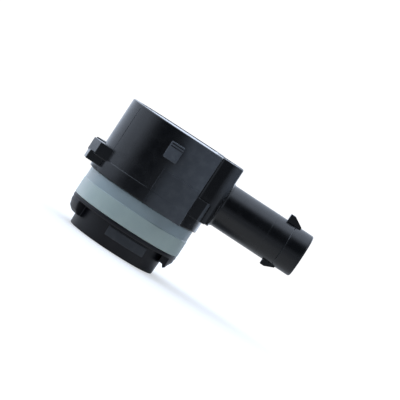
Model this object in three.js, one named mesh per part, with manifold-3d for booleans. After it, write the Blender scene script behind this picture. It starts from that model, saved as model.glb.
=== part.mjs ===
// Bumper-mounted ultrasonic distance sensor with an angled three-pin plug socket, in millimetres.
// The origin is the centre of the sensing face, +Z runs along the sensor axis to the rear rim, and
// +X runs along the plug socket. The moulding is symmetric about the XZ plane.
import * as THREE from 'three';
import { mergeVertices } from 'three/addons/utils/BufferGeometryUtils.js';
import Module from 'manifold-3d';

const wasm = await Module();
wasm.setup();

// Driving dimensions: the overall size
const RIM_Z = 26.0; // front face to rear rim
const BARREL_R = 11.7;
const SOCKET_END_X = 31.1;

// Housing shell
const WALL = 1.5;
const SHOULDER_Z = 11.1; // the seal ring seats against this face
const FLOOR_Z = 11.3; // inside of the cavity's floor
const FLOOR_T = 1.2;
const FLOOR_HOLE_R = 6.5;
const PAD_X = 8.6; // flat sides end at this corner edge
const NOSE_R = 10.1;
const NOSE_BORE_R = 9.15;
const NOSE_Z = 5.5;

// Neck between the barrel and the socket
const NECK_X = 13.07;
const NECK_HALF = 6.2;
const NECK_Z = 13.8;
const NECK_CORNER_R = 2.2;
const NECK_FLOOR_T = 0.9;

// Plug socket
const SOCKET_Z = 18.35;
const SOCKET_R = 4.4;
const SOCKET_BORE_R = 3.5;
const SOCKET_FLOOR_X = 20.0;
const FILLET_R = 4.95;
const FILLET_LENGTH = 0.9;
const LATCH_X = 25.1; // locking faces of both wedges
const LATCH_FLAT = 0.95;
const LATCH = { height: 1.35, length: 3.0, width: 2.6 };
const KEY = { height: 0.95, length: 2.8, width: 1.8 };

// Lugs round the barrel: each outline is seen from above, on the near side (-Y), as [x, y]
const LEFT_LUG = { z0: 13.45, z1: 16.05, outline: [[-9, -7.2], [-11.97, -7.2], [-13.86, -2.96], [-9, -2.96]] };
const LEFT_FOOT = { z0: 11.95, z1: 13.9, outline: [[-9, -6.3], [-12.98, -6.3], [-13.62, -2.96], [-9, -2.96]] };
const RIGHT_LUG = { z0: 13.5, z1: 17.35, outline: [[8, -7.5], [10.8, -7.5], [12.5, -4.3], [8, -4.3]] };
const SNAP_LUG = { x0: -0.97, x1: 1.84, z0: 20.3, z1: 23.7, height: 1.0 };

// Seal ring
const RING = { innerR: 10.2, outerR: 11.45, upperR: 11.38, z0: 5.35, z1: 11.05, stepZ: 8.75 };

// Decoupling sleeve and membrane cup
const SLEEVE = { boreR: 7.85, endR: 9.1, rootR: 9.3, flangeR: 11.4, flangeZ: 4.55, topZ: 5.3 };
const COLLAR = { outerR: 9.05, boreR: 8.4, z0: 8.15, z1: 10.0 };
const TAB_TOP_Z = 4.92; // inside the flange
const TAB_R = 11.3;
// The tab on -X is a part ring within this angle of the axis, from its [radius, z] profile
const ROUNDED_TAB_ANGLE = THREE.MathUtils.degToRad(34);
const ROUNDED_TAB = [[9, 2.1], [10.3, 2.1], [10.8, 2.5], [11.05, 2.95], [TAB_R, 3.9], [TAB_R, TAB_TOP_Z], [9, TAB_TOP_Z]];
// The tab on +X is a straight hook, from its [x, z] profile
const HOOKED_TAB_WIDTH = 9.0;
const HOOKED_TAB = [[9, 3], [9.3, 3.08], [9.8, 2.95], [10.25, 2.43], [11.14, 4.14], [TAB_R, TAB_TOP_Z], [9, TAB_TOP_Z]];
const PANEL = { x0: -2.2, x1: 6.1, z0: 2.2, z1: 4.1, outerR: 9.6, depth: 1.4 };
const CUP = { outerR: 7.75, wall: 1.0, face: 0.75, flangeR: 8.3, flangeZ: 8.2, topZ: 9.0 };

// Transducer stack
const DISC = { r: 4.0, z0: 0.8, z1: 1.05 };
const PAD = { outerR: 6.5, holeR: 1.7, z0: 1.3, z1: 6.5 };
const LEAD_R = 0.2;
const LEAD_BENDS = [[0.7, 2.6], [0.9, 5.4], [1.27, 7.6]]; // distance from the axis, z
const LEAD_START_X = 0.8;
const CARRIER = { r: 6.2, flangeR: 8.2, flangeZ: 11.4, flangeTop: 12.3, topR: 4.5, z0: 9.1 };

// Contacts
const PIN = 0.64; // square section
const PIN_PASSAGE = 0.8;
const PIN_PITCH = 2.0;
const PIN_TIP_X = 26.5;
const PIN_BEND_X = 9.0;
const PIN_TAIL_Z = 14.2;
const PIN_POINT = 0.5; // length of the tapered tip
const HOLE_PER_PIN = 1.6; // a board hole's diameter over the pin's width
const TRANSDUCER_PIN = { size: 0.5, x: 1.27, z0: 8.95, z1: 16.8 };

// Board and potting
const BOARD = { z0: 15.0, z1: 16.0, gap: 0.3 };
const SEAT = 0.05; // standoff of a part from the board face
const POTTING = { z0: 21.5, z1: 25.9, gap: 0.05 };

// Components on the board: centres as [x, y], sizes as [length, width, height]
const IC_AT = [3.6, 5.2];
const IC_BODY = { sizeX: 4.9, sizeY: 3.9, height: 1.45, lift: 0.1 };
const IC_LEG = { pitch: 1.27, width: 0.42, reach: 1.05, foot: 0.6, thick: 0.2, drop: 0.8, overlap: 0.2 };
const DRUM = { x: -5.2, y: 0, r: 2.4, waistR: 1.1, flange: 0.7, height: 4.2, gap: 0.1 };
const TANTALUM = { at: [3.4, -5.2], size: [3.5, 2.8, 1.9] };
const CERAMICS = { at: [[-2.6, 5.6], [-2.6, -5.6], [5.8, 0]], size: [2.0, 1.25, 1.25] };
const RESISTORS = { at: [[-0.4, 3.2], [-0.4, -3.2], [-5.6, 4.4], [-5.6, -4.4]], size: [1.6, 0.8, 0.45] };
const CHIP_CAP = 0.22; // length of an end cap over the chip's length
const CHIP_WAIST = 0.94; // width and height of a chip's middle over its end caps'

const ROUND = 64; // facets round a large circle
const SMALL_ROUND = 24;
const OVERCUT = 1.0; // how far a cutter runs past the face that it opens

// ---- Helpers ------------------------------------------------------------------------------------

function toSolid(geometry) {
  const bare = geometry.clone();
  bare.deleteAttribute('normal');
  bare.deleteAttribute('uv');
  const merged = mergeVertices(bare);
  return new wasm.Manifold(new wasm.Mesh({
    numProp: 3,
    vertProperties: new Float32Array(merged.attributes.position.array),
    triVerts: new Uint32Array(merged.index.array),
  }));
}

function toGeometry(solid) {
  const mesh = solid.getMesh();
  const geometry = new THREE.BufferGeometry();
  geometry.setAttribute('position', new THREE.BufferAttribute(mesh.vertProperties, 3));
  geometry.setIndex(new THREE.BufferAttribute(mesh.triVerts, 1));
  geometry.computeVertexNormals();
  return geometry;
}

function join(geometries) {
  return geometries.map(toSolid).reduce((whole, next) => whole.add(next));
}

function cut(solid, geometries) {
  return geometries.map(toSolid).reduce((rest, next) => rest.subtract(next), solid);
}

// Turned about Z from [radius, z] pairs that run counter-clockwise, with the axis on the left.
function turned(profile, segments = ROUND) {
  const points = profile.map(([r, z]) => new THREE.Vector2(r, z));
  return new THREE.LatheGeometry(points, segments).rotateX(Math.PI / 2);
}

function disc(r, z0, z1, segments = ROUND) {
  return turned([[0, z0], [r, z0], [r, z1], [0, z1]], segments);
}

// A closed ring from its profile, given without repeating the first point.
function ring(profile, segments = ROUND) {
  return turned([...profile, profile[0]], segments);
}

function prism(shape, z0, z1) {
  const options = { depth: z1 - z0, bevelEnabled: false, curveSegments: ROUND / 4 };
  return new THREE.ExtrudeGeometry(shape, options).translate(0, 0, z0);
}

function block(x0, x1, y0, y1, z0, z1) {
  return new THREE.BoxGeometry(x1 - x0, y1 - y0, z1 - z0)
    .translate((x0 + x1) / 2, (y0 + y1) / 2, (z0 + z1) / 2);
}

// A plate outlined by [x, z] pairs, with its width centred on y = 0.
function plate(outline, width) {
  const shape = new THREE.Shape(outline.map(([x, z]) => new THREE.Vector2(x, z)));
  return new THREE.ExtrudeGeometry(shape, { depth: width, bevelEnabled: false })
    .translate(0, 0, -width / 2)
    .rotateX(Math.PI / 2);
}

// A round rod along X at the socket's height, tapering from r0 to r1.
function socketRod(r0, r1, x0, x1, segments = ROUND) {
  return new THREE.CylinderGeometry(r0, r1, x1 - x0, segments)
    .rotateZ(Math.PI / 2)
    .translate((x0 + x1) / 2, 0, SOCKET_Z);
}

const group = new THREE.Group();

function addPiece(name, geometry, color, roughness, metalness = 0) {
  const material = new THREE.MeshStandardMaterial({ color, roughness, metalness });
  const piece = new THREE.Mesh(geometry, material);
  piece.name = name;
  group.add(piece);
}

const COLOR = {
  plastic: 0x1c1e22,
  potting: 0x2a2b2e,
  board: 0x1d5a34,
  chip: 0x161616,
  ferrite: 0x3a3a3d,
  copper: 0xa85a24,
  tantalum: 0xc88a2a,
  chipCeramic: 0xa08a6a,
  tin: 0xc8c8c4,
  carrier: 0xd9d4c6,
  membrane: 0x2b2d31,
  piezo: 0xcfc9b4,
  foam: 0xbfbfba,
  silicone: 0x8796a0,
  rubber: 0x24272c,
};

// ---- Housing ------------------------------------------------------------------------------------

// The barrel's outline: a circle whose two flat sides run on to a square corner at PAD_X.
function barrelOutline(inset) {
  const r = BARREL_R - inset;
  const padX = PAD_X - inset;
  const corner = Math.acos(padX / r);
  const shape = new THREE.Shape();
  shape.moveTo(0, -r);
  shape.lineTo(padX, -r);
  shape.lineTo(padX, -r * Math.sin(corner));
  shape.absarc(0, 0, r, -corner, corner, false);
  shape.lineTo(padX, r);
  shape.lineTo(0, r);
  shape.absarc(0, 0, r, Math.PI / 2, 1.5 * Math.PI, false);
  return shape;
}

function neckOutline(inset) {
  const x = NECK_X - inset;
  const half = NECK_HALF - inset;
  const r = NECK_CORNER_R - inset;
  const shape = new THREE.Shape();
  shape.moveTo(0, -half);
  shape.lineTo(x - r, -half);
  shape.absarc(x - r, -half + r, r, -Math.PI / 2, 0, false);
  shape.lineTo(x, half - r);
  shape.absarc(x - r, half - r, r, 0, Math.PI / 2, false);
  shape.lineTo(0, half);
  return shape;
}

// Barrel and neck together, inset all round, between their floors and z1.
function bodySolid(inset, barrelZ, neckZ, z1) {
  return join([prism(barrelOutline(inset), barrelZ, z1), prism(neckOutline(inset), neckZ, z1)]);
}

// The lug and its mirror image on the far side.
function lugPair({ z0, z1, outline }) {
  return [1, -1].map((side) => {
    const shape = new THREE.Shape(outline.map(([x, y]) => new THREE.Vector2(x, side * y)));
    return prism(shape, z0, z1);
  });
}

function snapLugs() {
  const { x0, x1, z0, z1, height } = SNAP_LUG;
  const y0 = BARREL_R - WALL / 2;
  const y1 = BARREL_R + height;
  return [block(x0, x1, y0, y1, z0, z1), block(x0, x1, -y1, -y0, z0, z1)];
}

// A wedge on the socket: side +1 stands on top of it, side -1 hangs below it.
function socketWedge({ height, length, width }, side) {
  const root = SOCKET_Z + side * (SOCKET_R - WALL / 3);
  const low = SOCKET_Z + side * (SOCKET_R + 0.2);
  const high = SOCKET_Z + side * (SOCKET_R + height);
  return plate([
    [LATCH_X, root],
    [LATCH_X, high],
    [LATCH_X + LATCH_FLAT, high],
    [LATCH_X + length, low],
    [LATCH_X + length, root],
  ], width);
}

function housing() {
  const filletEnd = NECK_X + FILLET_LENGTH;
  const outside = [
    socketRod(SOCKET_R, SOCKET_R, NECK_X - WALL, SOCKET_END_X),
    socketRod(SOCKET_R, FILLET_R, NECK_X - WALL / 2, filletEnd),
    socketWedge(LATCH, 1),
    socketWedge(KEY, -1),
    disc(NOSE_R, NOSE_Z, FLOOR_Z),
    ...[LEFT_LUG, LEFT_FOOT, RIGHT_LUG].flatMap(lugPair),
    ...snapLugs(),
  ].map(toSolid).reduce((whole, next) => whole.add(next), bodySolid(0, SHOULDER_Z, NECK_Z, RIM_Z));
  const cavity = bodySolid(WALL, FLOOR_Z, NECK_Z + NECK_FLOOR_T, RIM_Z + OVERCUT);
  const cutters = [
    disc(NOSE_BORE_R, NOSE_Z - OVERCUT, FLOOR_Z - FLOOR_T),
    disc(FLOOR_HOLE_R, NOSE_Z, FLOOR_Z + OVERCUT),
    socketRod(SOCKET_BORE_R, SOCKET_BORE_R, SOCKET_FLOOR_X, SOCKET_END_X + OVERCUT),
  ];
  for (const row of [-1, 0, 1]) {
    const y = row * PIN_PITCH;
    const half = PIN_PASSAGE / 2;
    cutters.push(block(
      PIN_BEND_X, SOCKET_FLOOR_X + OVERCUT, y - half, y + half, SOCKET_Z - half, SOCKET_Z + half,
    ));
  }
  return toGeometry(cut(outside.subtract(cavity), cutters));
}

addPiece('sensor_housing', housing(), COLOR.plastic, 0.42);
addPiece(
  'rear_potting',
  toGeometry(bodySolid(WALL + POTTING.gap, POTTING.z0, POTTING.z0, POTTING.z1)),
  COLOR.potting,
  0.15,
);

// ---- Board and its components -------------------------------------------------------------------

function boardHole(pinSize, x, y) {
  const r = (pinSize * HOLE_PER_PIN) / 2;
  return disc(r, BOARD.z0 - OVERCUT, BOARD.z1 + OVERCUT, SMALL_ROUND).translate(x, y, 0);
}

function circuitBoard() {
  const board = bodySolid(WALL + BOARD.gap, BOARD.z0, BOARD.z0, BOARD.z1);
  const holes = [];
  for (const row of [-1, 0, 1]) {
    holes.push(boardHole(PIN, PIN_BEND_X, row * PIN_PITCH));
  }
  for (const side of [-1, 1]) {
    holes.push(boardHole(TRANSDUCER_PIN.size, side * TRANSDUCER_PIN.x, 0));
  }
  return toGeometry(cut(board, holes));
}

// A part standing on the board, centred at x, y.
function onBoard(x, y, sizeX, sizeY, height) {
  const z0 = BOARD.z1 + SEAT;
  return block(x - sizeX / 2, x + sizeX / 2, y - sizeY / 2, y + sizeY / 2, z0, z0 + height);
}

function signalIc() {
  const [x, y] = IC_AT;
  const body = IC_BODY;
  const leg = IC_LEG;
  const pieces = [
    onBoard(x, y, body.sizeX, body.sizeY, body.height).translate(0, 0, body.lift),
  ];
  for (let i = 0; i < 4; i += 1) {
    const legX = x + (i - 1.5) * leg.pitch;
    for (const side of [-1, 1]) {
      const tipY = y + side * (body.sizeY / 2 + leg.reach);
      const footY = tipY - side * (leg.foot / 2);
      const kneeY = footY - side * ((leg.foot - leg.thick) / 2);
      const shelfY = y + side * (body.sizeY / 2 + leg.reach / 2 - leg.overlap);
      pieces.push(onBoard(legX, footY, leg.width, leg.foot, leg.thick));
      pieces.push(onBoard(legX, kneeY, leg.width, leg.thick, leg.drop));
      pieces.push(onBoard(legX, shelfY, leg.width, leg.reach, leg.thick)
        .translate(0, 0, leg.drop - leg.thick));
    }
  }
  return toGeometry(join(pieces));
}

// A chip part with a lower middle between its two end caps.
function chipPart([x, y], [length, width, height]) {
  const cap = length * CHIP_CAP;
  const edge = (length - cap) / 2;
  return toGeometry(join([
    onBoard(x, y, length, width * CHIP_WAIST, height * CHIP_WAIST),
    onBoard(x - edge, y, cap, width, height),
    onBoard(x + edge, y, cap, width, height),
  ]));
}

function transformerCore() {
  const z0 = BOARD.z1 + SEAT;
  const z1 = z0 + DRUM.height;
  return turned([
    [0, z0],
    [DRUM.r, z0],
    [DRUM.r, z0 + DRUM.flange],
    [DRUM.waistR, z0 + DRUM.flange],
    [DRUM.waistR, z1 - DRUM.flange],
    [DRUM.r, z1 - DRUM.flange],
    [DRUM.r, z1],
    [0, z1],
  ], SMALL_ROUND).translate(DRUM.x, DRUM.y, 0);
}

function transformerWinding() {
  const z0 = BOARD.z1 + SEAT + DRUM.flange + DRUM.gap;
  const z1 = BOARD.z1 + SEAT + DRUM.height - DRUM.flange - DRUM.gap;
  const inner = DRUM.waistR + DRUM.gap;
  const outer = DRUM.r - 2 * DRUM.gap;
  return ring([[inner, z0], [outer, z0], [outer, z1], [inner, z1]], SMALL_ROUND)
    .translate(DRUM.x, DRUM.y, 0);
}

addPiece('circuit_board', circuitBoard(), COLOR.board, 0.5);
addPiece('signal_ic', signalIc(), COLOR.chip, 0.6);
addPiece('transformer_core', transformerCore(), COLOR.ferrite, 0.7);
addPiece('transformer_winding', transformerWinding(), COLOR.copper, 0.35, 0.8);
addPiece('tantalum_capacitor', chipPart(TANTALUM.at, TANTALUM.size), COLOR.tantalum, 0.5);
CERAMICS.at.forEach((at, i) => {
  addPiece(`ceramic_capacitor_${i + 1}`, chipPart(at, CERAMICS.size), COLOR.chipCeramic, 0.5);
});
RESISTORS.at.forEach((at, i) => {
  addPiece(`resistor_${i + 1}`, chipPart(at, RESISTORS.size), COLOR.chip, 0.45);
});

// ---- Contacts -----------------------------------------------------------------------------------

// A square pin along the socket, bent down at the board end and pointed at the plug end.
function contactPin(y) {
  const half = PIN / 2;
  return plate([
    [PIN_BEND_X - half, PIN_TAIL_Z],
    [PIN_BEND_X + half, PIN_TAIL_Z],
    [PIN_BEND_X + half, SOCKET_Z - half],
    [PIN_TIP_X - PIN_POINT, SOCKET_Z - half],
    [PIN_TIP_X, SOCKET_Z - half / 2],
    [PIN_TIP_X, SOCKET_Z + half / 2],
    [PIN_TIP_X - PIN_POINT, SOCKET_Z + half],
    [PIN_BEND_X - half, SOCKET_Z + half],
  ], PIN).translate(0, y, 0);
}

function transducerPin(side) {
  const { size, x, z0, z1 } = TRANSDUCER_PIN;
  return block(side * x - size / 2, side * x + size / 2, -size / 2, size / 2, z0, z1);
}

function contactCarrier() {
  const c = CARRIER;
  const body = turned([
    [0, c.z0],
    [c.r, c.z0],
    [c.r, c.flangeZ],
    [c.flangeR, c.flangeZ],
    [c.flangeR, c.flangeTop],
    [c.topR, c.flangeTop],
    [c.topR, BOARD.z0 - SEAT],
    [0, BOARD.z0 - SEAT],
  ]);
  const half = TRANSDUCER_PIN.size / 2 + SEAT;
  const holes = [-1, 1].map((side) => {
    const x = side * TRANSDUCER_PIN.x;
    return block(x - half, x + half, -half, half, c.z0 - OVERCUT, BOARD.z0 + OVERCUT);
  });
  return toGeometry(cut(toSolid(body), holes));
}

[-1, 0, 1].forEach((row, i) => {
  addPiece(`contact_pin_${i + 1}`, contactPin(row * PIN_PITCH), COLOR.tin, 0.3, 1);
});
[-1, 1].forEach((side, i) => {
  addPiece(`transducer_pin_${i + 1}`, transducerPin(side), COLOR.tin, 0.3, 1);
});
addPiece('contact_carrier', contactCarrier(), COLOR.carrier, 0.6);

// ---- Transducer ---------------------------------------------------------------------------------

function membraneCup() {
  const c = CUP;
  return turned([
    [0, 0],
    [c.outerR, 0],
    [c.outerR, c.flangeZ],
    [c.flangeR, c.flangeZ],
    [c.flangeR, c.topZ],
    [c.outerR - c.wall, c.topZ],
    [c.outerR - c.wall, c.face],
    [0, c.face],
  ]);
}

// A fine wire from the disc through the pad's hole to one transducer pin.
function piezoLead(side) {
  const path = new THREE.CatmullRomCurve3([
    [LEAD_START_X, DISC.z1 + SEAT],
    ...LEAD_BENDS,
    [TRANSDUCER_PIN.x, TRANSDUCER_PIN.z0 - SEAT],
  ].map(([x, z]) => new THREE.Vector3(side * x, 0, z)));
  const section = new THREE.Shape().absarc(0, 0, LEAD_R, 0, 2 * Math.PI, false);
  return new THREE.ExtrudeGeometry(section, { steps: 12, curveSegments: 4, extrudePath: path });
}

addPiece('membrane_cup', membraneCup(), COLOR.membrane, 0.5, 0.4);
addPiece('piezo_disc', disc(DISC.r, DISC.z0, DISC.z1, SMALL_ROUND * 2), COLOR.piezo, 0.5);
addPiece('damping_pad', ring([
  [PAD.holeR, PAD.z0],
  [PAD.outerR, PAD.z0],
  [PAD.outerR, PAD.z1],
  [PAD.holeR, PAD.z1],
], SMALL_ROUND * 2), COLOR.foam, 0.9);
[-1, 1].forEach((side, i) => {
  addPiece(`piezo_lead_${i + 1}`, piezoLead(side), COLOR.copper, 0.4, 0.8);
});

// ---- Seal ring and decoupling sleeve ------------------------------------------------------------

function sealRing() {
  const r = RING;
  return ring([
    [r.innerR, r.z0],
    [r.outerR, r.z0],
    [r.outerR, r.stepZ],
    [r.upperR, r.stepZ + 0.1],
    [r.upperR, r.z1],
    [r.innerR, r.z1],
  ]);
}

function roundedTab() {
  const reach = 2 * TAB_R;
  const sector = new THREE.Shape([
    new THREE.Vector2(0, 0),
    new THREE.Vector2(-reach, reach * Math.tan(ROUNDED_TAB_ANGLE)),
    new THREE.Vector2(-reach, -reach * Math.tan(ROUNDED_TAB_ANGLE)),
  ]);
  return toSolid(ring(ROUNDED_TAB)).intersect(toSolid(prism(sector, 0, RIM_Z)));
}

function hookedTab() {
  return toSolid(plate(HOOKED_TAB, HOOKED_TAB_WIDTH)).intersect(toSolid(disc(TAB_R, 0, RIM_Z)));
}

function decouplingSleeve() {
  const s = SLEEVE;
  const body = toSolid(ring([
    [s.boreR, 0],
    [s.endR, 0],
    [s.rootR, s.flangeZ],
    [s.flangeR, s.flangeZ],
    [s.flangeR, s.topZ],
    [COLLAR.outerR, s.topZ],
    [COLLAR.outerR, COLLAR.z1],
    [COLLAR.boreR, COLLAR.z1],
    [COLLAR.boreR, COLLAR.z0],
    [s.boreR, COLLAR.z0],
  ]));
  const p = PANEL;
  const front = -p.outerR - OVERCUT;
  const panel = toSolid(block(p.x0, p.x1, front, -p.outerR + p.depth, p.z0, p.z1))
    .intersect(toSolid(disc(p.outerR, 0, s.topZ)));
  return toGeometry([roundedTab(), hookedTab(), panel].reduce((whole, next) => whole.add(next), body));
}

addPiece('seal_ring', sealRing(), COLOR.silicone, 0.4);
addPiece('decoupling_sleeve', decouplingSleeve(), COLOR.rubber, 0.6);

export default group;
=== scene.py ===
"""Looks of the bumper-mounted ultrasonic distance sensor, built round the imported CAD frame.

Shapes are made in millimetres in the row frame and scaled to metres when they become objects: +Z runs
from the sensing face to the rear rim, +X along the plug socket, and the near side is -Y.
"""
import math

import bpy
from mathutils import Matrix, Vector


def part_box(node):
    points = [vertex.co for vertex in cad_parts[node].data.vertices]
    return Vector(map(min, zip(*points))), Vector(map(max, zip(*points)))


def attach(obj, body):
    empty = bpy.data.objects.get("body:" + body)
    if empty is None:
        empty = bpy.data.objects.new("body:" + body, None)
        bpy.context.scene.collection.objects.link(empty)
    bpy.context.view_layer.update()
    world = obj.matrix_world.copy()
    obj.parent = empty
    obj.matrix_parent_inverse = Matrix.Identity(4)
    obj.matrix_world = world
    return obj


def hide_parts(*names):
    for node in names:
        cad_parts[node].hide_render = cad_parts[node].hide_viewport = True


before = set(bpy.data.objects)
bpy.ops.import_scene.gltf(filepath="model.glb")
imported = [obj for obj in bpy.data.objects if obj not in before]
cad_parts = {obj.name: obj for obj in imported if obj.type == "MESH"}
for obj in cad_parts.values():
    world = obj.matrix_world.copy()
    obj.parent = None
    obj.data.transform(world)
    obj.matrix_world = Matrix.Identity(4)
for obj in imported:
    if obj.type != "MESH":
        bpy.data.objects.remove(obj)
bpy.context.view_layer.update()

MM = 0.001


def box_mm(node):
    low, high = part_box(node)
    return low / MM, high / MM


# ---- Sizes read from the frame -------------------------------------------------------------------

housing_low, housing_high = box_mm("sensor_housing")
potting_low, potting_high = box_mm("rear_potting")
ring_low, ring_high = box_mm("seal_ring")
sleeve_high = box_mm("decoupling_sleeve")[1]
cup_high = box_mm("membrane_cup")[1]
pin_high = box_mm("contact_pin_2")[1]

WALL = 1.5
GLUE_GAP = 0.05
BARREL_R = potting_high.y + WALL + GLUE_GAP
NECK_X = potting_high.x + WALL + GLUE_GAP
RIM_Z = housing_high.z
SHOULDER_Z = ring_high.z + GLUE_GAP
NOSE_Z = housing_low.z
SOCKET_END_X = housing_high.x
PIN = 0.64
SOCKET_Z = pin_high.z - PIN / 2

# Details of the moulding that the frame's boxes don't give
PAD_X = 8.6
PAD_CORNER_R = 0.25
NECK_HALF = 6.2
NECK_CORNER_R = 2.2
NECK_Z = 13.8
COLLAR_Z = 13.9
SOCKET_R = 4.4
SOCKET_BORE_R = 3.5
SOCKET_FLOOR_X = 20.0
COLLAR_PROUD = 0.16
PARTING_Z = 18.4  # the neck's sides lean in above this line and, less, below it
LOW_DRAFT = 0.1
TOP_DRAFT_DEGREES = 3
RIM_EDGE_R = 0.22
PANEL_PROUD = 0.12
PANEL_X = 0.5
NOSE_R = 10.1
NOSE_BORE_R = 9.15
FLOOR_Z = 10.1  # underside of the floor that the board stack sits over
FLOOR_INNER_R = 6.2
FLOOR_HOLE_R = 6.5
NECK_FLOOR_TOP_Z = NECK_Z + 0.95
WEDGE_FACE_X = SOCKET_END_X - 6.0  # locking faces of both wedges
GROOVE_DEGREES = 36.5  # from the left end round to the barrel's fine groove
SNAP_X = (-0.97, 1.84)
SNAP_Z = (20.3, 23.7)

# Details of the sleeve and the ring
SLEEVE_BORE_R = 7.85
SLEEVE_COLLAR_R = 9.05
SLEEVE_COLLAR_BORE_R = 8.4
SLEEVE_STEP_Z = 8.15
FLANGE_Z = (4.55, 5.3)
TAB_R = 11.3
TAB_ROOT_R = 9.0
TAB_TOP_Z = 4.9
LABEL_R = 9.55
RING_BORE_R = 10.2
RING_STEP_Z = (ring_low.z + ring_high.z) / 2 + 0.55

# Fineness of the round shapes
ROUND = 192  # facets round a large circle
CORNER_STEPS = 5
EDGE_STEPS = 4
SWEEP_STEPS = 24


# ---- Solid makers --------------------------------------------------------------------------------


def arc(cx, cy, radius, start, end, steps):
    """Points on a circle from start to end, in degrees."""
    angles = [math.radians(start + (end - start) * k / steps) for k in range(steps + 1)]
    return [(cx + radius * math.cos(a), cy + radius * math.sin(a)) for a in angles]


def rounded(corners):
    """A closed outline from (x, y, radius) corners, each rounded to its radius."""
    points = []
    for i, (x, y, radius) in enumerate(corners):
        here = Vector((x, y))
        back = Vector(corners[i - 1][:2]) - here
        ahead = Vector(corners[(i + 1) % len(corners)][:2]) - here
        half = back.angle(ahead) / 2
        reach = min(radius / math.tan(half), 0.45 * back.length, 0.45 * ahead.length)
        if reach < 1e-6:
            points.append((x, y))
            continue
        start, end = here + back.normalized() * reach, here + ahead.normalized() * reach
        size = reach * math.tan(half)
        centre = here + (back.normalized() + ahead.normalized()).normalized() * (size / math.sin(half))
        for k in range(CORNER_STEPS + 1):
            arm = (start - centre).slerp(end - centre, k / CORNER_STEPS)
            points.append(tuple(centre + arm.normalized() * size))
    return points


def inset(outline, depth):
    """The counter-clockwise outline moved inwards by depth."""
    inner = []
    for i, point in enumerate(outline):
        here = Vector(point)
        before = (here - Vector(outline[i - 1])).normalized()
        after = (Vector(outline[(i + 1) % len(outline)]) - here).normalized()
        n1, n2 = Vector((-before.y, before.x)), Vector((-after.y, after.x))
        inner.append(tuple(here + (n1 + n2) * (depth / (1 + n1.dot(n2)))))
    return inner


def loft(rings):
    """A closed body through rings of (x, y, z) points, all of one length."""
    count = len(rings[0])
    points = [p for ring in rings for p in ring]
    faces = [tuple(reversed(range(count)))]
    for k in range(len(rings) - 1):
        low, high = k * count, (k + 1) * count
        for i in range(count):
            j = (i + 1) % count
            faces.append((low + i, low + j, high + j, high + i))
    faces.append(tuple(range(len(points) - count, len(points))))
    return points, faces


def edge_round(radius):
    """(inset, height) pairs of a quarter round, from the end face outwards."""
    angles = [math.radians(90 * k / EDGE_STEPS) for k in range(EDGE_STEPS + 1)]
    return [(radius * (1 - math.sin(a)), radius * (1 - math.cos(a))) for a in angles]


def prism(outline, z0, z1, low_r=0.0, high_r=0.0):
    """The outline raised from z0 to z1, with the edges of its ends rounded."""
    levels = [(d, z0 + h) for d, h in (edge_round(low_r) if low_r else [(0, 0)])]
    levels += [(d, z1 - h) for d, h in reversed(edge_round(high_r) if high_r else [(0, 0)])]
    return loft([[(x, y, z) for x, y in (inset(outline, d) if d else outline)] for d, z in levels])


def plate(outline, width, edge_r=0.1):
    """An outline of (x, z) points given width across Y, centred on y = 0."""
    points, faces = prism(outline, -width / 2, width / 2, edge_r, edge_r)
    return [(x, -z, y) for x, y, z in points], faces


def turned(profile):
    """A closed ring about Z from its counter-clockwise (radius, z) outline."""
    points, faces = [], []
    count = len(profile)
    for k in range(ROUND):
        a = 2 * math.pi * k / ROUND
        points += [(r * math.cos(a), r * math.sin(a), z) for r, z in profile]
        here, ahead = k * count, ((k + 1) % ROUND) * count
        for i in range(count):
            j = (i + 1) % count
            faces.append((here + i, ahead + i, ahead + j, here + j))
    return points, faces


def spun(profile, steps=ROUND):
    """A solid about Z from (radius, z) points between two ends on the axis."""
    rings = profile[1:-1]
    count = len(rings)
    points = [(0, 0, profile[0][1]), (0, 0, profile[-1][1])]
    faces = []
    for k in range(steps):
        a = 2 * math.pi * k / steps
        points += [(r * math.cos(a), r * math.sin(a), z) for r, z in rings]
        here, ahead = 2 + k * count, 2 + ((k + 1) % steps) * count
        faces.append((0, ahead, here))
        faces.append((1, here + count - 1, ahead + count - 1))
        for i in range(count - 1):
            faces.append((here + i, ahead + i, ahead + i + 1, here + i + 1))
    return points, faces


def swept(profile, start, end, edge_r):
    """A part ring about Z between two angles in degrees, with its ends rounded."""
    radius = max(r for r, _ in profile)
    ends = [(d, math.degrees(h / radius)) for d, h in edge_round(edge_r)]
    stops = [(d, start + h) for d, h in ends]
    inner_start, inner_end = start + ends[-1][1], end - ends[-1][1]
    stops += [(0, inner_start + (inner_end - inner_start) * k / SWEEP_STEPS) for k in range(1, SWEEP_STEPS)]
    stops += [(d, end - h) for d, h in reversed(ends)]
    rings = []
    for depth, angle in stops:
        a = math.radians(angle)
        section = inset(profile, depth) if depth else profile
        rings.append([(r * math.cos(a), r * math.sin(a), z) for r, z in reversed(section)])
    return loft(rings)


def moved(body, matrix):
    points, faces = body
    return [tuple(matrix @ Vector(p)) for p in points], faces


def turn(degrees):
    return Matrix.Rotation(math.radians(degrees), 4, "Z")


def shift(x, y, z):
    return Matrix.Translation((x, y, z))


def raw_object(name, body):
    mesh = bpy.data.meshes.new(name)
    mesh.from_pydata(body[0], [], body[1])
    mesh.validate()
    made = bpy.data.objects.new(name, mesh)
    bpy.context.scene.collection.objects.link(made)
    return made


def combine(base, body, operation):
    """Joins body to the base object, or cuts it out, and removes the tool object."""
    tool = raw_object("tool", body)
    modifier = base.modifiers.new("combine", "BOOLEAN")
    modifier.operation, modifier.solver, modifier.object = operation, "EXACT", tool
    bpy.context.view_layer.objects.active = base
    bpy.ops.object.modifier_apply(modifier=modifier.name)
    bpy.data.objects.remove(tool)


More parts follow.
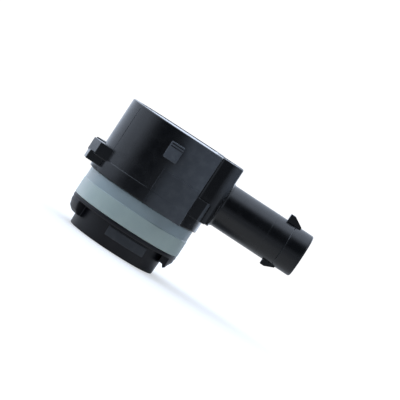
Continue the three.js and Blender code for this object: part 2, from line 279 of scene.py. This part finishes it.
def finished(name, bodies, cuts=(), sharp=38.0):
    """One smooth-shaded object in metres from bodies joined together, less the cuts."""
    made = raw_object(name, bodies[0])
    for body in bodies[1:]:
        combine(made, body, "UNION")
    for body in cuts:
        combine(made, body, "DIFFERENCE")
    made.data.transform(Matrix.Scale(MM, 4))
    made.data.shade_smooth()
    made.data.set_sharp_from_angle(angle=math.radians(sharp))
    weighted = made.modifiers.new("weighted", "WEIGHTED_NORMAL")
    weighted.keep_sharp = True
    return made


# ---- Materials -----------------------------------------------------------------------------------

NOISE_ROUGHNESS = 0.55
# Paler tones of the matt areas: a matt finish, and on the housing partly a painted reflection
MATT_AND_SHEEN_DARK, MATT_AND_SHEEN_LIGHT = (0.076, 0.085, 0.098), (0.098, 0.108, 0.12)
MATT_ROUGHER = 0.4  # what a matt finish adds to the roughness


class Nodes:
    """Short ways to add and link the nodes of one material."""

    def __init__(self, name):
        self.material = bpy.data.materials.new(name)
        self.material.use_nodes = True
        self.tree = self.material.node_tree
        self.shader = self.tree.nodes["Principled BSDF"]
        self.place = self.tree.nodes.new("ShaderNodeTexCoord").outputs["Object"]

    def add(self, kind, **values):
        node = self.tree.nodes.new("ShaderNode" + kind)
        for key, value in values.items():
            setattr(node, key, value)
        return node

    def link(self, source, target):
        self.tree.links.new(source, target)

    def noise(self, per_mm, detail=3.0, stretch=(1, 1, 1)):
        """A noise value whose largest features are about 1 / per_mm millimetres."""
        mapping = self.add("Mapping")
        mapping.inputs["Scale"].default_value = [s * per_mm / MM for s in stretch]
        self.link(self.place, mapping.inputs["Vector"])
        noise = self.add("TexNoise")
        noise.inputs["Scale"].default_value = 1.0
        noise.inputs["Detail"].default_value = detail
        noise.inputs["Roughness"].default_value = NOISE_ROUGHNESS
        self.link(mapping.outputs["Vector"], noise.inputs["Vector"])
        return noise.outputs["Fac"]

    def span(self, value, low, high, to_low, to_high, smooth=True):
        """Carries the value from the range low to high over to the range to_low to to_high."""
        node = self.add("MapRange", interpolation_type="SMOOTHSTEP" if smooth else "LINEAR")
        for key, number in zip(("From Min", "From Max", "To Min", "To Max"), (low, high, to_low, to_high)):
            node.inputs[key].default_value = number
        self.link(value, node.inputs["Value"])
        return node.outputs["Result"]

    def split(self):
        """The X, Y and Z of the place on the surface, in metres."""
        node = self.add("SeparateXYZ")
        self.link(self.place, node.inputs[0])
        return node.outputs["X"], node.outputs["Y"], node.outputs["Z"]

    def maths(self, operation, *values):
        node = self.add("Math", operation=operation)
        for socket, value in zip(node.inputs, values):
            if isinstance(value, (int, float)):
                socket.default_value = value
            else:
                self.link(value, socket)
        return node.outputs[0]

    def mix(self, factor, a, b):
        node = self.add("Mix", data_type="RGBA")
        self.link(factor, node.inputs["Factor"])
        for socket, value in ((node.inputs[6], a), (node.inputs[7], b)):
            if isinstance(value, tuple):
                socket.default_value = (*value, 1)
            else:
                self.link(value, socket)
        return node.outputs[2]

    def edges(self, radius_mm):
        """Rises from 0 on smooth ground to about 0.3 on an edge."""
        soft = self.add("Bevel", samples=4)
        soft.inputs["Radius"].default_value = radius_mm * MM
        alike = self.add("VectorMath", operation="DOT_PRODUCT")
        self.link(soft.outputs["Normal"], alike.inputs[0])
        self.link(self.add("NewGeometry").outputs["Normal"], alike.inputs[1])
        return self.span(alike.outputs["Value"], 0.0, 1.0, 1.0, 0.0, smooth=False)

    def bump(self, height, strength, depth_mm, normal=None):
        node = self.add("Bump")
        node.inputs["Strength"].default_value = strength
        node.inputs["Distance"].default_value = depth_mm * MM
        self.link(height, node.inputs["Height"])
        if normal is not None:
            self.link(normal, node.inputs["Normal"])
        return node.outputs["Normal"]

    def set(self, **values):
        for key, value in values.items():
            socket = self.shader.inputs[key.replace("_", " ")]
            if isinstance(value, (int, float)):
                socket.default_value = value
            elif isinstance(value, tuple):
                socket.default_value = (*value, 1)
            else:
                self.link(value, socket)


def plastic(n, dark, light, rough, grain_mm, worn=(0.05, 0.055, 0.062), specular=0.5, matte=None):
    """Moulded plastic: faint mottling, fine spark-eroded grain, flow marks and rubbed edges.

    Where the mask is given, it turns the surface paler and rougher: a matt finish, and on the housing
    partly a painted reflection.
    """
    mottling = n.span(n.noise(0.25), 0.35, 0.65, 0, 1)
    colour = n.mix(mottling, dark, light)
    gloss = n.span(n.noise(0.6, 4), 0.3, 0.7, rough - 0.05, rough + 0.06)
    if matte is not None:
        scuffs = n.span(n.noise(0.7, 5), 0.4, 0.7, 0, 1)
        colour = n.mix(matte, colour, n.mix(scuffs, MATT_AND_SHEEN_DARK, MATT_AND_SHEEN_LIGHT))
        gloss = n.maths("MULTIPLY_ADD", matte, MATT_ROUGHER, gloss)
    edges = n.span(n.edges(0.22), 0.04, 0.3, 0, 1)
    rub = n.span(n.noise(1.4, 5), 0.42, 0.62, 0, 1)
    worn_colour = n.mix(n.maths("MULTIPLY", edges, rub), colour, worn)
    flow = n.bump(n.noise(0.16, 2), 0.25, 0.05)
    grain = n.bump(n.noise(9, 2), 0.35, grain_mm, flow)
    n.set(Base_Color=worn_colour, Roughness=gloss, Normal=grain, Specular_IOR_Level=specular)
    return n.material


def housing_matte_and_sheen(n):
    """Mask of the housing's paler, rougher areas: flat sides, snap lugs, neck corners and the right lugs'
    ends.

    The paler tone is part matt finish and part painted reflection; the side's fades in from left to right,
    and the corners' from the parting line upwards.
    """
    x, y, z = n.split()
    far = n.maths("ABSOLUTE", y)
    # Painted reflection: the flat side grows paler from left to right
    near_part = n.span(x, -0.4 * MM, 3.2 * MM, 0, 0.75)
    along = n.maths("ADD", near_part, n.span(x, 3.2 * MM, 8.5 * MM, 0, 0.25))
    side = n.maths("MULTIPLY", n.span(far, 11.55 * MM, 11.65 * MM, 0, 1), along)
    upper = n.span(z, (PARTING_Z - 0.3) * MM, (PARTING_Z + 0.3) * MM, 0, 1)
    on_panel = n.span(x, (PANEL_X - 0.1) * MM, PANEL_X * MM, 0, 1)
    side = n.maths("MULTIPLY", side, n.maths("MAXIMUM", upper, on_panel))
    # Painted reflection: the neck corners grow paler from the parting line upwards
    fade = n.span(z, PARTING_Z * MM, (PARTING_Z + 4.5) * MM, 0, 1)
    # Painted reflection on the outer ends of the right lugs
    lug_out = n.span(far, 6.4 * MM, 6.6 * MM, 0, 0.8)
    lug_end = n.maths("MULTIPLY", lug_out, n.span(x, 10.7 * MM, 10.9 * MM, 0, 1))
    snap = n.span(far, 12.3 * MM, 12.5 * MM, 0, 1)
    # Painted reflection on the neck's corners, cut off at the socket's root
    corner_in = n.span(x, 10.6 * MM, 12.6 * MM, 0, 0.8)
    corner = n.maths("MULTIPLY", corner_in, n.span(x, 12.9 * MM, 13.0 * MM, 1, 0))
    matte = n.maths("MAXIMUM", n.maths("MAXIMUM", side, snap), n.maths("MULTIPLY", corner, fade))
    matte = n.maths("MAXIMUM", matte, lug_end)
    return n.maths("MULTIPLY", matte, n.maths("MULTIPLY_ADD", upper, 0.2, 0.8))


def housing_plastic():
    """Glossy black with paler matt areas that are partly painted reflection."""
    n = Nodes("housing_plastic")
    dark, light, worn = (0.0022, 0.0027, 0.0036), (0.0034, 0.004, 0.0052), (0.1, 0.108, 0.12)
    return plastic(n, dark, light, 0.22, 0.004, worn, matte=housing_matte_and_sheen(n))


def sleeve_rubber():
    """Black rubber with the blank label panel in a matt finish."""
    n = Nodes("sleeve_rubber")
    x, y, _ = n.split()
    reach = n.add("VectorMath", operation="LENGTH")
    flat = n.add("CombineXYZ")
    n.link(x, flat.inputs[0])
    n.link(y, flat.inputs[1])
    n.link(flat.outputs[0], reach.inputs[0])
    out = n.span(reach.outputs["Value"], 9.4 * MM, 9.48 * MM, 0, 0.6)
    within = n.span(reach.outputs["Value"], 9.6 * MM, 9.62 * MM, 1, 0)
    panel = n.maths("MULTIPLY", out, within)
    dark, light = (0.003, 0.0034, 0.0065), (0.0045, 0.005, 0.0085)
    return plastic(n, dark, light, 0.36, 0.01, specular=0.34, matte=panel)


def membrane_coat():
    return plastic(Nodes("membrane_coat"), (0.012, 0.0125, 0.014), (0.017, 0.018, 0.02), 0.42, 0.015)


def ring_silicone():
    """Grey translucent silicone: the upper band is darker and bluer, and the left end carries a painted
    highlight.
    """
    n = Nodes("ring_silicone")
    x, _, z = n.split()
    band = n.span(z, (RING_STEP_Z - 0.12) * MM, (RING_STEP_Z + 0.12) * MM, 0, 1)
    lower = n.mix(n.span(n.noise(0.35), 0.3, 0.7, 0, 1), (0.4, 0.492, 0.472), (0.435, 0.53, 0.497))
    upper = n.mix(n.span(n.noise(0.35), 0.3, 0.7, 0, 1), (0.29, 0.362, 0.385), (0.325, 0.402, 0.42))
    # Painted highlight: the left end is lightened where the light falls on it from the left
    painted_left_highlight = n.span(x, -11.4 * MM, -7.5 * MM, 0.6, 0)
    colour = n.mix(painted_left_highlight, n.mix(band, lower, upper), (0.72, 0.76, 0.73))
    gloss = n.span(n.noise(0.8, 4), 0.3, 0.7, 0.33, 0.42)
    wave = n.bump(n.noise(0.3, 2), 0.3, 0.04)
    grain = n.bump(n.noise(6, 3), 0.25, 0.012, wave)
    n.set(Base_Color=colour, Roughness=gloss, Normal=grain, Specular_IOR_Level=0.62)
    n.set(Subsurface_Weight=0.25, Subsurface_Scale=0.0012)
    n.shader.inputs["Subsurface Radius"].default_value = (0.8, 1.0, 1.0)
    return n.material


def potting_resin():
    n = Nodes("potting_resin")
    colour = n.mix(n.span(n.noise(0.2), 0.3, 0.7, 0, 1), (0.008, 0.008, 0.009), (0.014, 0.014, 0.015))
    wave = n.bump(n.noise(0.22, 2), 0.35, 0.06)
    dust = n.span(n.noise(5, 2), 0.68, 0.76, 0.09, 0.4)
    n.set(Base_Color=colour, Roughness=dust, Normal=wave)
    return n.material


def metal(name, dark, light, rough):
    """Drawn or plated metal with fine lengthwise streaks."""
    n = Nodes(name)
    streaks = n.noise(2.0, 3, stretch=(0.2, 3, 3))
    colour = n.mix(n.span(streaks, 0.3, 0.7, 0, 1), dark, light)
    gloss = n.span(n.noise(3, 3), 0.3, 0.7, rough - 0.06, rough + 0.08)
    n.set(Base_Color=colour, Roughness=gloss, Normal=n.bump(streaks, 0.2, 0.008), Metallic=1.0)
    return n.material


def speckled(name, dark, light, rough, per_mm=1.5):
    """A plain inner part: two near tones in fine speckle, with a matching bump."""
    n = Nodes(name)
    speckle = n.noise(per_mm, 4)
    colour = n.mix(n.span(speckle, 0.35, 0.65, 0, 1), dark, light)
    gloss = n.span(speckle, 0.3, 0.7, rough - 0.05, rough + 0.08)
    n.set(Base_Color=colour, Roughness=gloss, Normal=n.bump(speckle, 0.3, 0.02))
    return n.material


# ---- Housing -------------------------------------------------------------------------------------


def mirrored_outline(lower):
    """A closed outline from its half below the X axis, given from the left end to the right."""
    return lower + [(x, -y) for x, y in reversed(lower)]


def shell_outline(depth, draft=0.0):
    """Barrel, flat sides and neck as one outline, inset by depth; the neck's sides go in by draft more."""
    r, pad_x = BARREL_R - 0.02 - depth, PAD_X - depth
    neck, neck_x, corner_r = NECK_HALF - depth - draft, NECK_X - depth, NECK_CORNER_R - depth
    lower = arc(0, 0, r, 180, 270, ROUND // 4)
    if depth < PAD_CORNER_R:
        small = PAD_CORNER_R - depth
        lower += arc(pad_x - small, -r + small, small, -90, 0, 5)
    else:
        lower.append((pad_x, -r))
    hollow = 0.5 + depth
    lower += arc(pad_x + hollow, -neck - hollow, hollow, 180, 90, 6)
    lower += arc(neck_x - corner_r, -neck + corner_r, corner_r, -90, 0, 24)
    return mirrored_outline(lower[1:])


def shell():
    """The outer moulding from the neck's floor to the rim."""
    top_draft = (RIM_Z - PARTING_Z) * math.tan(math.radians(TOP_DRAFT_DEGREES))
    levels = [(0, LOW_DRAFT, NECK_Z), (0, 0, PARTING_Z)]
    levels += [(d, top_draft, RIM_Z - h) for d, h in reversed(edge_round(RIM_EDGE_R))]
    return loft([[(x, y, z) for x, y in shell_outline(depth, draft)] for depth, draft, z in levels])


def collar_outline():
    """The lower band of the moulding, a little prouder than the shell above it."""
    r = BARREL_R + COLLAR_PROUD
    corner = math.degrees(math.acos(PAD_X / r))
    lower = arc(0, 0, r, 180, 270, ROUND // 4)
    lower += arc(PAD_X - PAD_CORNER_R, -r + PAD_CORNER_R, PAD_CORNER_R, -90, 0, 5)
    lower += arc(0, 0, r, -corner, 0, ROUND // 8)[:-1]
    return mirrored_outline(lower[1:])


def nose():
    """The stepped tube inside the seal ring, with the floor that the board stack sits over."""
    return turned(rounded([
        (NOSE_BORE_R, NOSE_Z, 0.1),
        (NOSE_R, NOSE_Z, 0.2),
        (NOSE_R, SHOULDER_Z + 0.4, 0),
        (FLOOR_INNER_R, SHOULDER_Z + 0.4, 0),
        (FLOOR_INNER_R, FLOOR_Z, 0.1),
        (NOSE_BORE_R, FLOOR_Z, 0.1),
    ]))


def socket_tube():
    """The plug socket: a flared root, two faint mould lines, a rounded mouth and a blind bore."""
    r, end = SOCKET_R, SOCKET_END_X
    flare = 0.55
    root_x = NECK_X - WALL + 0.2
    angles = [math.radians(a) for a in range(0, 91, 10)]
    profile = [(0, root_x), (r + flare, root_x)]
    profile += [(r + flare * (1 - math.sin(a)), NECK_X + flare * (1 - math.cos(a))) for a in angles]
    for x, proud in ((end - 7.9, 0.045), (end - 4.0, 0.09)):
        profile += [(r, x - 0.1), (r + proud, x), (r, x + 0.1)]
    profile += [(h + r - 0.45, z) for h, z in arc(0, end - 0.45, 0.45, 0, 90, 6)]
    profile += [(h + SOCKET_BORE_R + 0.2, z) for h, z in arc(0, end - 0.2, 0.2, 90, 180, 4)]
    profile += [(SOCKET_BORE_R, SOCKET_FLOOR_X + 0.3), (SOCKET_BORE_R - 0.3, SOCKET_FLOOR_X)]
    profile.append((0, SOCKET_FLOOR_X))
    along_x = Matrix(((0, 0, 1, 0), (0, 1, 0, 0), (-1, 0, 0, SOCKET_Z), (0, 0, 0, 1)))
    return moved(spun(profile, 128), along_x)


def socket_wedge(length, height, width, side):
    """A wedge on top of the socket (side +1) or under it (side -1), with its locking face at the left."""
    x, low, high = WEDGE_FACE_X, SOCKET_R - 0.5, SOCKET_R + height
    outline = [
        (x, low, 0),
        (x + length, low, 0),
        (x + length, SOCKET_R + 0.15, 0.15),
        (x + 0.95, high, 0.25),
        (x, high, 0.15),
    ]
    if side < 0:
        outline.reverse()
    return plate(rounded([(px, SOCKET_Z + side * h, r) for px, h, r in outline]), width)


def lug_pair(corners, z0, z1):
    """A lug from its near-side outline of (x, y, radius) corners, and its mirror image."""
    near = prism(rounded(corners), z0, z1, 0.14, 0.16)
    far = prism(rounded([(x, -y, r) for x, y, r in reversed(corners)]), z0, z1, 0.14, 0.16)
    return [near, far]


def wing_lugs():
    left = [(-13.86, -2.96, 0.22), (-11.97, -7.2, 0.3), (-9, -7.2, 0.2), (-9, -2.96, 0.2)]
    foot = [(-13.62, -2.96, 0.22), (-12.98, -6.3, 0.3), (-9, -6.3, 0.2), (-9, -2.96, 0.2)]
    right = [(8, -4.3, 0.2), (8, -7.5, 0.2), (10.8, -7.5, 0.22), (12.5, -4.3, 0.22)]
    return lug_pair(left, 13.45, 16.05) + lug_pair(foot, 11.95, 13.8) + lug_pair(right, 13.5, 17.35)


def side_details():
    """Raised lower panel, snap lug with two slits and fine groove for both sides: bodies and cuts."""
    added, cut = [], []
    face = BARREL_R + PANEL_PROUD
    right, top = PAD_X - 0.1, PARTING_Z
    left, low = PANEL_X, SHOULDER_Z
    panel = rounded([(left, low, 0.15), (right, low, 0.15), (right, top, 0.15), (left, top, 0.15)])
    (x0, x1), (z0, z1) = SNAP_X, SNAP_Z
    snap = rounded([(x0, z0, 0.2), (x1, z0, 0.2), (x1, z1, 0.25), (x0, z1, 0.25)])
    for side in (-1, 1):
        added.append(moved(plate(panel, 0.8, 0.12), shift(0, side * (face - 0.4), 0)))
        added.append(moved(plate(snap, 1.6, 0.15), shift(0, side * (BARREL_R + 0.2), 0)))
        for z in (22.8, 23.3):
            slit = rounded([(-0.7, z - 0.1, 0), (2.1, z - 0.1, 0), (2.1, z + 0.1, 0), (-0.7, z + 0.1, 0)])
            cut.append(moved(plate(slit, 0.9, 0.02), shift(0, side * (BARREL_R + 1.0), 0)))
        groove = turn(180 + side * GROOVE_DEGREES) @ shift(BARREL_R, 0, 0)
        slot = [(-0.25, -0.05), (0.2, -0.07), (0.2, 0.07), (-0.25, 0.05)]
        cut.append(moved(prism(slot, 16, 25.3), groove))
    return added, cut


def cavity():
    """The space for the board and the potting, open at the rim with a fine chamfer."""
    chamfer = 0.04
    rings = [(WALL, NECK_FLOOR_TOP_Z), (WALL, RIM_Z - chamfer)]
    rings += [(WALL - chamfer, RIM_Z), (WALL - chamfer, RIM_Z + 1)]
    return loft([[(x, y, z) for x, y in shell_outline(depth)] for depth, z in rings])


def plug(radius, z0, z1):
    """A plain round body on the axis, for cutting."""
    return spun([(0, z0), (radius, z0), (radius, z1), (0, z1)])


def make_housing():
    added, cut = side_details()
    bodies = [
        shell(),
        prism(collar_outline(), SHOULDER_Z, COLLAR_Z, 0.15, 0.18),
        nose(),
        socket_tube(),
        socket_wedge(3.0, 1.35, 2.6, 1),
        socket_wedge(2.8, 0.95, 1.8, -1),
        *wing_lugs(),
        *added,
    ]
    lower_cavity = plug(BARREL_R - WALL, SHOULDER_Z + 0.2, NECK_Z + 1.1)
    floor_hole = plug(FLOOR_HOLE_R, 9, SHOULDER_Z + 0.8)
    cuts = [cavity(), lower_cavity, floor_hole, *cut]
    made = finished("housing_shell", bodies, cuts)
    made.data.materials.append(housing_plastic())
    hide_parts("sensor_housing")
    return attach(made, "sensor")


def make_potting():
    top = RIM_Z - 0.05
    rings = [(WALL + 0.03, potting_low.z), (WALL + 0.03, top)]
    rings += [(WALL + 0.3, top - 0.03), (WALL + 0.7, top - 0.04)]
    body = loft([[(x, y, z) for x, y in shell_outline(depth)] for depth, z in rings])
    made = finished("rear_fill", [body])
    made.data.materials.append(potting_resin())
    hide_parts("rear_potting")
    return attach(made, "sensor")


# ---- Ring, sleeve and membrane -------------------------------------------------------------------


def make_ring():
    outer, inner = ring_high.x, RING_BORE_R
    z0, z1, step = ring_low.z, ring_high.z, RING_STEP_Z
    made = finished("silicone_ring", [turned(rounded([
        (inner, z0, 0.1),
        (outer, z0, 0.2),
        (outer, step - 0.05, 0.05),
        (outer - 0.1, step + 0.08, 0.03),
        (outer - 0.1, z1, 0.15),
        (inner, z1, 0.1),
    ]))])
    made.data.materials.append(ring_silicone())
    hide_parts("seal_ring")
    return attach(made, "ring")


def hooked_tab():
    """A straight hook across the sleeve's right side, trimmed to the flange's edge."""
    profile = rounded([
        (TAB_ROOT_R, 3.1, 0),
        (9.8, 3.05, 0.2),
        (10.2, 2.4, 0.12),
        (10.6, 2.7, 0.3),
        (TAB_R, 4.0, 0.4),
        (TAB_R, TAB_TOP_Z, 0),
        (TAB_ROOT_R, TAB_TOP_Z, 0),
    ])
    width = 8.6
    rings = []
    for k in range(SWEEP_STEPS + 1):
        y = width / 2 - width * k / SWEEP_STEPS
        limit = math.sqrt(TAB_R ** 2 - y * y)
        rings.append([(min(x, limit), y, z) for x, z in profile])
    return loft(rings)


def make_sleeve():
    flange_r, collar_top = sleeve_high.x, 10.0
    flange_low, flange_top = FLANGE_Z
    body = turned(rounded([
        (SLEEVE_BORE_R, 0, 0.15),
        (9.1, 0, 0.2),
        (9.3, flange_low, 0.15),
        (flange_r, flange_low, 0.25),
        (flange_r, flange_top, 0.12),
        (SLEEVE_COLLAR_R, flange_top, 0.1),
        (SLEEVE_COLLAR_R, collar_top, 0.2),
        (SLEEVE_COLLAR_BORE_R, collar_top, 0.1),
        (SLEEVE_COLLAR_BORE_R, SLEEVE_STEP_Z, 0.05),
        (SLEEVE_BORE_R, SLEEVE_STEP_Z, 0.1),
    ]))
    smooth_tab = rounded([
        (TAB_ROOT_R, 2.1, 0.2),
        (10.25, 2.1, 0.3),
        (10.95, 2.75, 0.5),
        (TAB_R, 3.9, 0.5),
        (TAB_R, TAB_TOP_Z, 0.2),
        (TAB_ROOT_R, TAB_TOP_Z, 0.2),
    ])
    panel = rounded([(8.8, 2.2, 0.2), (LABEL_R, 2.2, 0.15), (LABEL_R, 4.1, 0.15), (8.8, 4.1, 0.2)])
    bodies = [
        body,
        swept(smooth_tab, 180 - 33.5, 180 + 33.5, 0.18),
        hooked_tab(),
        swept(panel, 270 - 13.4, 270 + 39.5, 0.14),
    ]
    made = finished("rubber_sleeve", bodies)
    made.data.materials.append(sleeve_rubber())
    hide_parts("decoupling_sleeve")
    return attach(made, "sleeve")


def make_cup():
    r, top = 7.75, cup_high.z
    made = finished("membrane_pot", [spun([
        (0, 0.04),
        (r - 0.9, 0.04),
        (r - 0.75, 0),
        (r - 0.2, 0),
        (r, 0.2),
        (r, 8.2),
        (cup_high.x - 0.1, 8.2),
        (cup_high.x, 8.3),
        (cup_high.x, top),
        (r - 1, top),
        (r - 1, 0.75),
        (0, 0.75),
    ])])
    made.data.materials.append(membrane_coat())
    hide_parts("membrane_cup")
    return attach(made, "sensor")


# ---- Contacts and inner parts --------------------------------------------------------------------


def square_ring(centre, along, size):
    """Four corners of a square of that size, standing across the direction along."""
    side = Vector((0, 1, 0))
    up = along.cross(side)
    half = size / 2
    corners = ((-1, -1), (1, -1), (1, 1), (-1, 1))
    return [tuple(centre + side * (a * half) + up * (b * half)) for a, b in corners]


def make_pin(index, plating):
    low, high = box_mm(f"contact_pin_{index}")
    y = (low.y + high.y) / 2
    half, bend = PIN / 2, 0.7
    column_x = low.x + half
    rings = [square_ring(Vector((column_x, y, low.z)), Vector((0, 0, 1)), PIN)]
    for k in range(7):
        a = math.radians(90 * k / 6)
        centre = Vector((column_x + bend - bend * math.cos(a), y, SOCKET_Z - bend + bend * math.sin(a)))
        rings.append(square_ring(centre, Vector((math.sin(a), 0, math.cos(a))), PIN))
    for x, size in ((high.x - 0.9, PIN), (high.x - 0.15, PIN * 0.45), (high.x, PIN * 0.25)):
        rings.append(square_ring(Vector((x, y, SOCKET_Z)), Vector((1, 0, 0)), size))
    made = finished(f"plug_pin_{index}", [loft(rings)], sharp=30)
    made.data.materials.append(plating)
    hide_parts(f"contact_pin_{index}")
    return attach(made, "sensor")


def dress_inner_nodes(plating):
    """The sealed parts keep their CAD shapes and get materials of their own."""
    copper = metal("enamelled_copper", (0.42, 0.16, 0.06), (0.6, 0.27, 0.1), 0.35)
    board = speckled("solder_mask", (0.012, 0.09, 0.035), (0.02, 0.13, 0.05), 0.35, 0.8)
    black = speckled("chip_moulding", (0.012, 0.012, 0.013), (0.02, 0.02, 0.021), 0.55)
    ceramic = speckled("chip_ceramic", (0.32, 0.24, 0.15), (0.42, 0.32, 0.2), 0.5)
    looks = {
        "circuit_board": board,
        "signal_ic": black,
        "transformer_core": speckled("ferrite", (0.03, 0.03, 0.033), (0.05, 0.05, 0.053), 0.6),
        "transformer_winding": copper,
        "tantalum_capacitor": speckled("capacitor_case", (0.45, 0.24, 0.04), (0.58, 0.32, 0.06), 0.4),
        "contact_carrier": speckled("carrier_plastic", (0.5, 0.47, 0.4), (0.6, 0.57, 0.5), 0.5, 0.5),
        "piezo_disc": speckled("silvered_ceramic", (0.5, 0.48, 0.42), (0.62, 0.6, 0.52), 0.35),
        "damping_pad": speckled("foam", (0.38, 0.38, 0.36), (0.5, 0.5, 0.48), 0.85, 3.0),
    }
    for index in (1, 2):
        looks[f"piezo_lead_{index}"] = copper
        looks[f"transducer_pin_{index}"] = plating
    for index in (1, 2, 3):
        looks[f"ceramic_capacitor_{index}"] = ceramic
    for index in (1, 2, 3, 4):
        looks[f"resistor_{index}"] = black
    for node, material in looks.items():
        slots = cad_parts[node].data.materials
        slots.clear()
        slots.append(material)


# ---- Stage, light and camera ---------------------------------------------------------------------

ROLL = 33.3  # degrees that the picture is turned about the line of sight
ELEVATION = 2.4
DISTANCE = 425.0
LENS = 202.6
AIM = Vector((9.2, 0, 16.78))

FLOOR_R, FLOOR_THICK = 150.0, 0.02
LIGHT_TINT = (0.87, 0.98, 1.17)
TABLE_NEAR, TABLE_FAR, TABLE_BACK = 0.62, 0.24, 1.7
WALL_LIGHT, TOP_LIGHT = 1.1, 1.8


def camera_axes():
    """The picture's right and up directions and the direction to the camera, in the row frame."""
    e, roll = math.radians(ELEVATION), math.radians(ROLL)
    back = Vector((0, -math.cos(e), math.sin(e)))
    level, upright = Vector((1, 0, 0)), Vector((0, math.sin(e), math.cos(e)))
    right = level * math.cos(roll) + upright * math.sin(roll)
    up = upright * math.cos(roll) - level * math.sin(roll)
    return right, up, back


def make_camera():
    right, up, back = camera_axes()
    data = bpy.data.cameras.new("camera")
    data.lens, data.sensor_width = LENS, 36.0
    data.clip_start, data.clip_end = 0.01, 20.0
    camera = bpy.data.objects.new("camera", data)
    bpy.context.scene.collection.objects.link(camera)
    axes = Matrix((right, up, back)).transposed().to_4x4()
    camera.matrix_world = Matrix.Translation((AIM + back * DISTANCE) * MM) @ axes
    bpy.context.scene.camera = camera


def show_to_camera(tree, shown, hidden, output):
    """A camera ray meets the shader shown, and every other ray meets the hidden one."""
    choose = tree.nodes.new("ShaderNodeMixShader")
    tree.links.new(tree.nodes.new("ShaderNodeLightPath").outputs["Is Camera Ray"], choose.inputs[0])
    tree.links.new(hidden.outputs[0], choose.inputs[1])
    tree.links.new(shown.outputs[0], choose.inputs[2])
    tree.links.new(choose.outputs[0], output)


def make_floor():
    """A pale floor for camera rays, and for all others a shaded, dimmer copy with a painted glow round the
    part and a painted shadow under the socket's root.
    """
    low = -FLOOR_THICK
    floor = raw_object("floor", spun([(0, low), (FLOOR_R, low), (FLOOR_R, 0), (0, 0)], 96))
    floor.data.transform(Matrix.Scale(MM, 4))
    n = Nodes("floor")
    shown, hidden = n.shader, n.add("BsdfPrincipled")
    for shader, tone, painted_glow in ((shown, 0.6, 0.5), (hidden, 0.3, 0.0)):
        shader.inputs["Base Color"].default_value = (tone, tone, tone, 1)
        shader.inputs["Roughness"].default_value = 0.8
        shader.inputs["Specular IOR Level"].default_value = 0.1
        shader.inputs["Emission Color"].default_value = (0.97, 0.99, 1.0, 1)
        shader.inputs["Emission Strength"].default_value = painted_glow
    reach = n.add("VectorMath", operation="LENGTH")
    n.link(n.place, reach.inputs[0])
    # Painted light: the reflected floor glows most near the part and fades outwards
    painted_glow = n.span(reach.outputs["Value"], 22 * MM, 60 * MM, 0.38, 0.04)
    # Painted shadow: a dark spot round (12, 3) mm, under the socket's root
    shadow_spot_distance = n.add("VectorMath", operation="DISTANCE")
    n.link(n.place, shadow_spot_distance.inputs[0])
    shadow_spot_distance.inputs[1].default_value = (12 * MM, 3 * MM, 0)
    painted_glow = n.maths("MULTIPLY", painted_glow, n.span(shadow_spot_distance.outputs["Value"], 5 * MM, 12 * MM, 0.05, 1))
    n.link(painted_glow, hidden.inputs["Emission Strength"])
    show_to_camera(n.tree, shown, hidden, n.tree.nodes["Material Output"].inputs["Surface"])
    floor.data.materials.append(n.material)


def make_world():
    """A room that is dark round the camera and brightest towards the picture's top, over a pale table.

    The table is shaded towards the socket's side, and camera rays see plain white instead of the room.
    """
    _, up, back = camera_axes()
    world = bpy.data.worlds.new("studio")
    world.use_nodes = True
    bpy.context.scene.world = world
    tree = world.node_tree
    background = tree.nodes["Background"]
    place = tree.nodes.new("ShaderNodeTexCoord").outputs["Generated"]

    def along(direction):
        node = tree.nodes.new("ShaderNodeVectorMath")
        node.operation = "DOT_PRODUCT"
        node.inputs[1].default_value = direction
        tree.links.new(place, node.inputs[0])
        return node.outputs["Value"]

    def ramp(value, low, high, to_low=0.0, to_high=1.0):
        node = tree.nodes.new("ShaderNodeMapRange")
        node.interpolation_type = "SMOOTHSTEP"
        for key, number in zip(("From Min", "From Max", "To Min", "To Max"), (low, high, to_low, to_high)):
            node.inputs[key].default_value = number
        tree.links.new(value, node.inputs["Value"])
        return node.outputs["Result"]

    def maths(operation, a, b, c=None):
        node = tree.nodes.new("ShaderNodeMath")
        node.operation = operation
        for socket, value in zip(node.inputs, (a, b, c)):
            if isinstance(value, (int, float)):
                socket.default_value = value
            elif value is not None:
                tree.links.new(value, socket)
        return node.outputs[0]

    height, front = along(up), along(back)
    shaded = ramp(along(Vector((1, 0.45, 0)).normalized()), 0.84, 0.94, 1.0, 0.1)
    far = ramp(front, -0.85, -0.5, TABLE_BACK, TABLE_FAR)
    away = ramp(height, -0.6, 0.0)
    near = maths("MULTIPLY", maths("SUBTRACT", 1.0, away), TABLE_NEAR)
    table = maths("MULTIPLY", maths("MULTIPLY_ADD", away, far, near), shaded)
    wall = ramp(height, 0.5, 0.85, WALL_LIGHT, TOP_LIGHT)
    room = maths("MULTIPLY_ADD", ramp(front, 0.2, 0.8, 1.0, 0.0), wall, 0.07)
    above = ramp(height, -0.06, 0.08)
    below = maths("MULTIPLY", maths("SUBTRACT", 1.0, above), table)
    light = maths("ADD", maths("MULTIPLY", above, room), below)
    tree.links.new(light, background.inputs["Strength"])
    background.inputs["Color"].default_value = (*LIGHT_TINT, 1)
    white = tree.nodes.new("ShaderNodeBackground")
    white.inputs["Strength"].default_value = 1.1
    white.inputs["Color"].default_value = (1, 1, 1, 1)
    show_to_camera(tree, white, background, tree.nodes["World Output"].inputs["Surface"])
    bpy.context.scene.view_settings.view_transform = "Standard"


# ---- Assembly ------------------------------------------------------------------------------------

make_camera()
make_floor()
make_world()
make_housing()
make_potting()
make_ring()
make_sleeve()
make_cup()
tin = metal("tin_plating", (0.62, 0.61, 0.58), (0.78, 0.77, 0.74), 0.25)
for number in (1, 2, 3):
    make_pin(number, tin)
dress_inner_nodes(tin)
